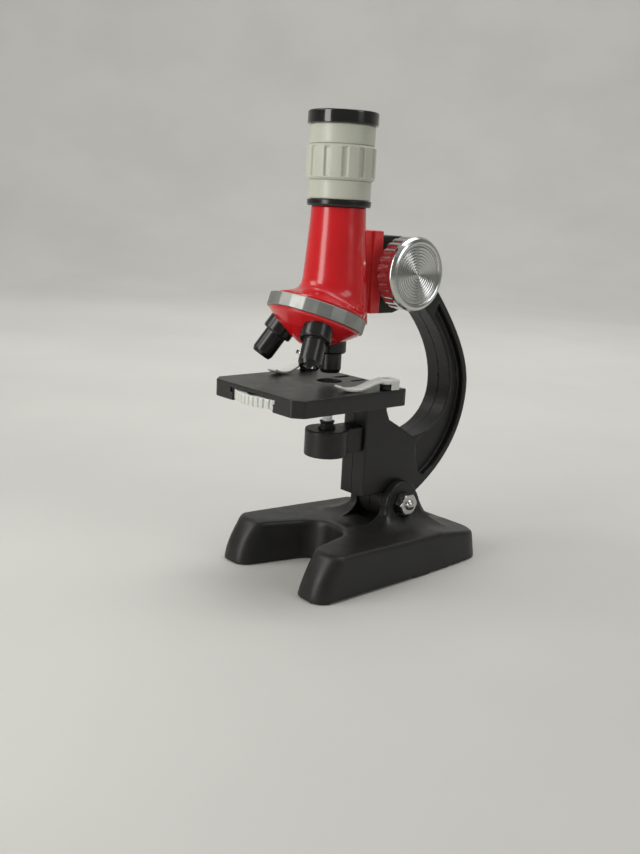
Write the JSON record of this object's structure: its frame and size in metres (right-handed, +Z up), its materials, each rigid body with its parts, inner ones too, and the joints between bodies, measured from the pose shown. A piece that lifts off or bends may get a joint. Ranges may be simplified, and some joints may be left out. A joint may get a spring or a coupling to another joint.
{
  "type": "kids microscope",
  "caption": "Children's monocular toy microscope: curved black arm tilting on a notched base, rack-focused red tube, turning nosepiece of lenses, lamp, filter wheel and clipped stage.",
  "frame": {"origin": "centre of the whole part's footprint box, on the plane the feet stand on", "axes": "+Z up along the tube, -Y the front where the user looks in and the base's notch opens, +X the right side that carries the tilt nut"},
  "size_m": [0.082, 0.147, 0.225],
  "materials": {
    "black_plastic": "satin",
    "gloss_black": "gloss",
    "red_plastic": "gloss",
    "white_plastic": "satin",
    "clear_white": "translucent satin",
    "silver_plating": "vacuum-plated plastic",
    "steel": "nickel plated",
    "brass": "bare",
    "wire_red": "insulated wire",
    "rubber": "matte",
    "filter": "coloured clear plastic",
    "glass": "clear",
    "mirror": "polished"
  },
  "bodies": {
    "root": {"base": "black_plastic", "base_feet": "rubber", "tilt_bolt": "steel", "bolt_washer": "steel", "tilt_nut": "steel"},
    "arm": {"arm_right": "black_plastic", "arm_left": "black_plastic", "arm_screws": "steel", "battery_cover": "black_plastic", "cover_screw": "steel", "button_cells": "steel", "battery_contacts": "brass", "lamp_leads": "wire_red", "lamp_retainer": "white_plastic", "stage": "black_plastic", "clip_posts": "black_plastic", "wheel_screw": "steel"},
    "filter_wheel": {"filter_wheel": "clear_white", "colour_filters": "filter"},
    "clip_right": {"stage_clip_right": "clear_white"},
    "clip_left": {"stage_clip_left": "clear_white"},
    "lamp": {"lamp_housing": "black_plastic", "bulb_collar": "black_plastic", "bulb": "white_plastic", "lamp_mirror": "mirror"},
    "tube": {"tube": "red_plastic", "rack_block": "red_plastic", "turret_screw": "steel", "tube_collar": "black_plastic", "eyepiece_barrel": "white_plastic", "eyepiece_collar": "white_plastic", "eyecup": "gloss_black", "ocular_lens": "glass"},
    "zoom": {"zoom_grip": "white_plastic"},
    "zoom_cell": {"zoom_lens_cell": "black_plastic", "zoom_lens": "glass"},
    "turret": {"turret_ring": "silver_plating", "nosepiece": "red_plastic", "objective_low": "gloss_black", "objective_mid": "gloss_black", "objective_high": "gloss_black", "objective_lenses": "glass"},
    "focus": {"pinion": "white_plastic", "focus_shaft": "steel", "knob_right": "silver_plating", "knob_left": "silver_plating"}
  },
  "joints": [
    {"name": "arm_tilt", "type": "hinge", "parent": "root", "child": "arm", "pos_m": [0, 0.022, 0.0307], "axis": [-1, 0, 0], "range_deg": [0, 45]},
    {"name": "focus_travel", "type": "slide", "parent": "arm", "child": "tube", "axis": [0, 0, 1], "range_m": [0, 0.01]},
    {"name": "focus_turn", "type": "hinge", "parent": "arm", "child": "focus", "pos_m": [0, 0.0065, 0.152], "axis": [1, 0, 0], "range_deg": [-145, 0]},
    {"name": "turret_turn", "type": "hinge", "parent": "tube", "child": "turret", "pos_m": [0, -0.0332, 0.1314], "axis": [0, 0.342, 0.9397], "continuous": true},
    {"name": "zoom_turn", "type": "hinge", "parent": "tube", "child": "zoom", "pos_m": [0, -0.0225, 0.202], "axis": [0, 0, 1], "range_deg": [0, 120]},
    {"name": "zoom_travel", "type": "slide", "parent": "tube", "child": "zoom_cell", "axis": [0, 0, 1], "range_m": [0, 0.0061]},
    {"name": "filter_turn", "type": "hinge", "parent": "arm", "child": "filter_wheel", "pos_m": [0, -0.0445, 0.093], "axis": [0, 0, 1], "continuous": true},
    {"name": "lamp_flip", "type": "hinge", "parent": "arm", "child": "lamp", "pos_m": [0, -0.0225, 0.06685], "axis": [0, 1, 0], "range_deg": [0, 180]},
    {"name": "clip_right_swing", "type": "hinge", "parent": "arm", "child": "clip_right", "pos_m": [0.03, -0.013, 0.1], "axis": [0, 0, 1], "range_deg": [-20, 25]},
    {"name": "clip_left_swing", "type": "hinge", "parent": "arm", "child": "clip_left", "pos_m": [-0.03, -0.013, 0.1], "axis": [0, 0, 1], "range_deg": [-25, 20]}
  ],
  "couplings": [
    {"joint": "focus_turn", "follows": "focus_travel", "rad_per_m": -250},
    {"joint": "zoom_travel", "follows": "zoom_turn", "m_per_rad": 0.002865}
  ]
}
